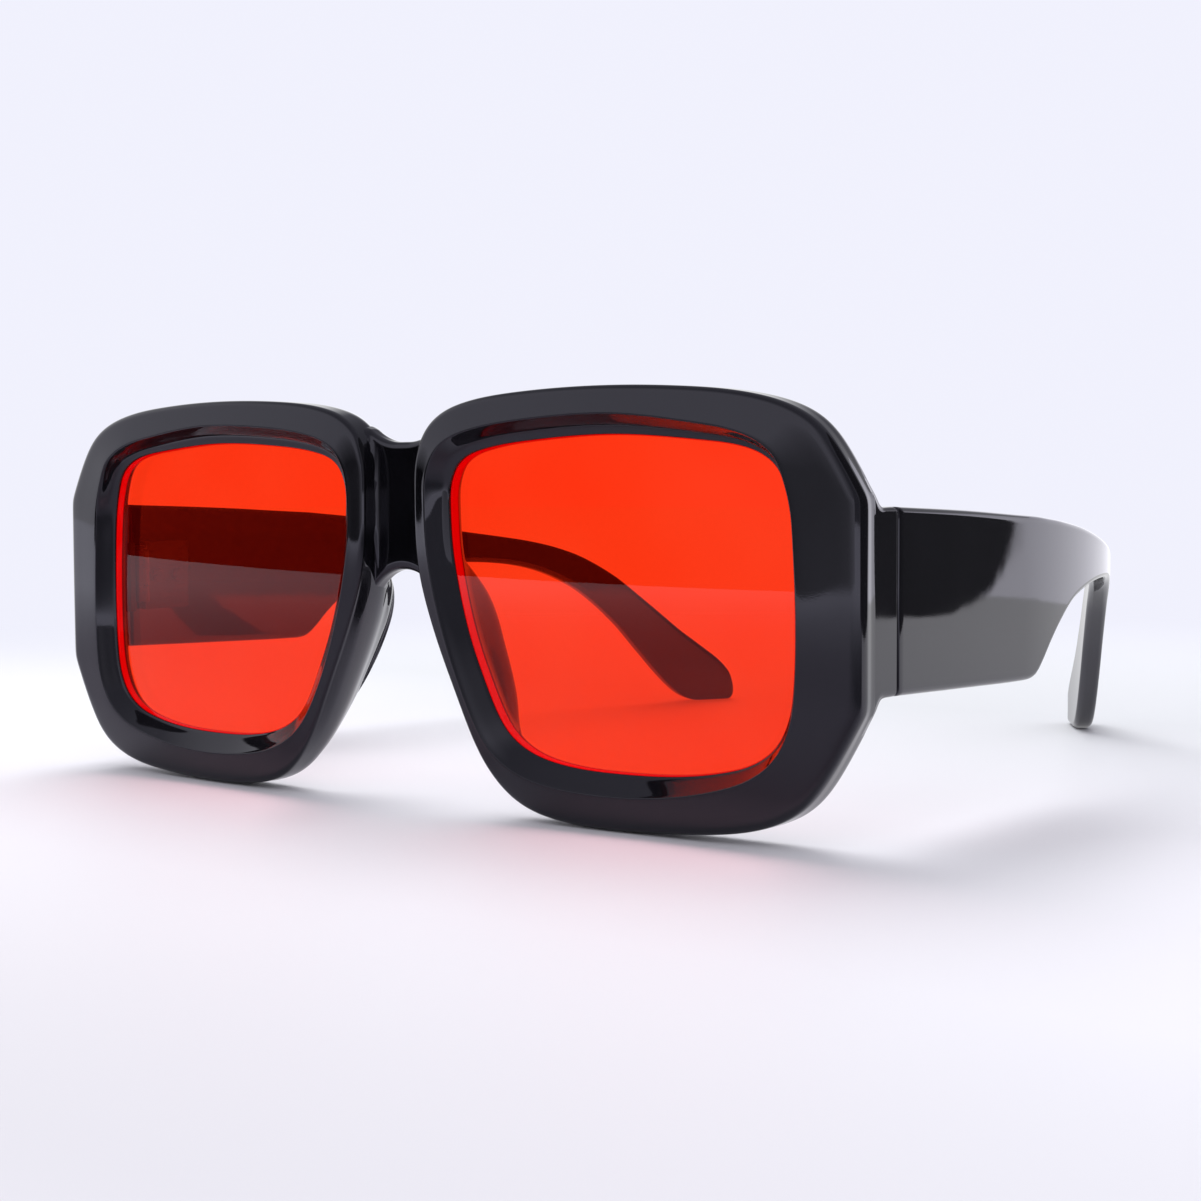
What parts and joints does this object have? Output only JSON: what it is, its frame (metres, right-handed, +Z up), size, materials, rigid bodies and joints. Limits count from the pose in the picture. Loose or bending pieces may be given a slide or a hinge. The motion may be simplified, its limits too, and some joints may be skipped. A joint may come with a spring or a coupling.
{
  "type": "square sunglasses",
  "caption": "Thick square sunglasses with a glossy black moulded front, red tinted lenses and wide folding temples that taper to curved arms.",
  "frame": {"origin": "centre of the bounding box on the floor plane, with both temples open", "axes": "+X towards the wearer's left, +Y from the front back along the temples, +Z up"},
  "size_m": [0.145, 0.1461, 0.0569],
  "materials": {
    "frame_plastic": "polished",
    "lens_tint": "clear red tint, polished",
    "hinge_steel": "satin"
  },
  "bodies": {
    "front": {"front_frame": "frame_plastic", "lens_left": "lens_tint", "lens_right": "lens_tint", "hinge_front_leaf_left": "hinge_steel", "hinge_front_leaf_right": "hinge_steel", "hinge_screw_left": "hinge_steel", "hinge_screw_right": "hinge_steel", "front_leaf_screw_left_1": "hinge_steel", "front_leaf_screw_left_2": "hinge_steel", "front_leaf_screw_right_1": "hinge_steel", "front_leaf_screw_right_2": "hinge_steel"},
    "temple_left": {"temple_left": "frame_plastic", "hinge_temple_leaf_left": "hinge_steel", "temple_leaf_screw_left_1": "hinge_steel", "temple_leaf_screw_left_2": "hinge_steel"},
    "temple_right": {"temple_right": "frame_plastic", "hinge_temple_leaf_right": "hinge_steel", "temple_leaf_screw_right_1": "hinge_steel", "temple_leaf_screw_right_2": "hinge_steel"}
  },
  "joints": [
    {"name": "temple_left_fold", "type": "hinge", "parent": "front", "child": "temple_left", "pos_m": [0.0659, -0.05936, 0.02985], "axis": [0, 0, 1], "range_deg": [0, 78]},
    {"name": "temple_right_fold", "type": "hinge", "parent": "front", "child": "temple_right", "pos_m": [-0.0659, -0.05936, 0.02985], "axis": [0, 0, -1], "range_deg": [0, 66]}
  ]
}
